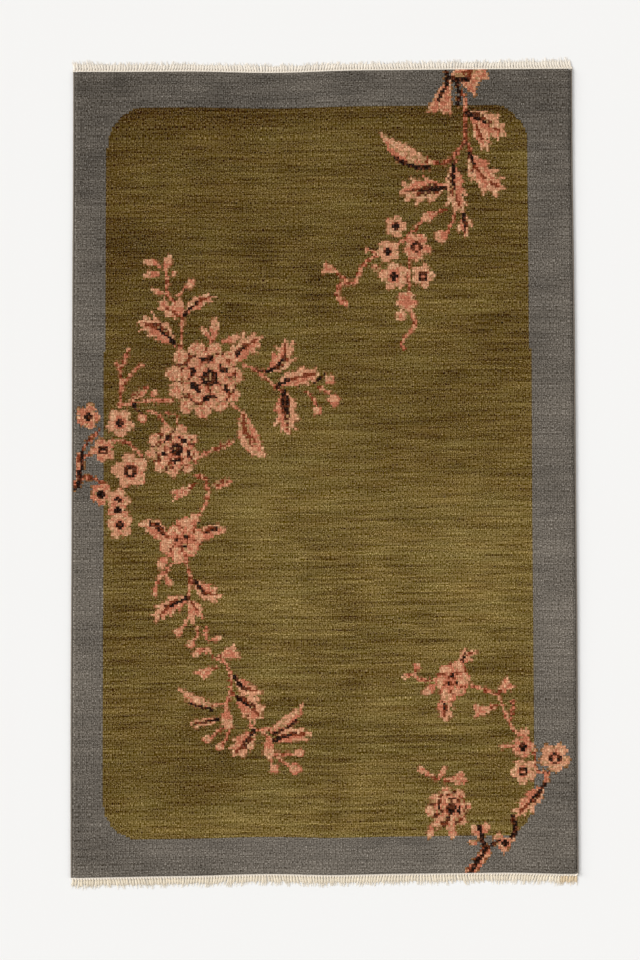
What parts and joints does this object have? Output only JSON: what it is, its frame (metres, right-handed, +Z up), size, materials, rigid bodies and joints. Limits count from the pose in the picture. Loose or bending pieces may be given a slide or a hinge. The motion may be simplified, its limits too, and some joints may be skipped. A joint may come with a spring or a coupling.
{
  "type": "hand-knotted rug",
  "caption": "Rectangular hand-knotted wool rug lying flat, with overcast side selvedges and a short cotton fringe along each end",
  "frame": {"origin": "on the floor under the middle of the rug", "axes": "+Z up out of the pile, +Y along the length to the head end, +X to the right as seen from above"},
  "size_m": [1.5304, 2.5128, 0.0114],
  "materials": {
    "pile_wool": "sheared wool pile, olive brown field with a grey border and floral sprays",
    "selvedge_wool": "grey wool overcasting",
    "warp_cotton": "undyed cotton warps, cream"
  },
  "bodies": {
    "root": {"pile": "pile_wool", "selvedge_left": "selvedge_wool", "selvedge_right": "selvedge_wool", "fringe_head": "warp_cotton", "fringe_foot": "warp_cotton"}
  },
  "joints": []
}
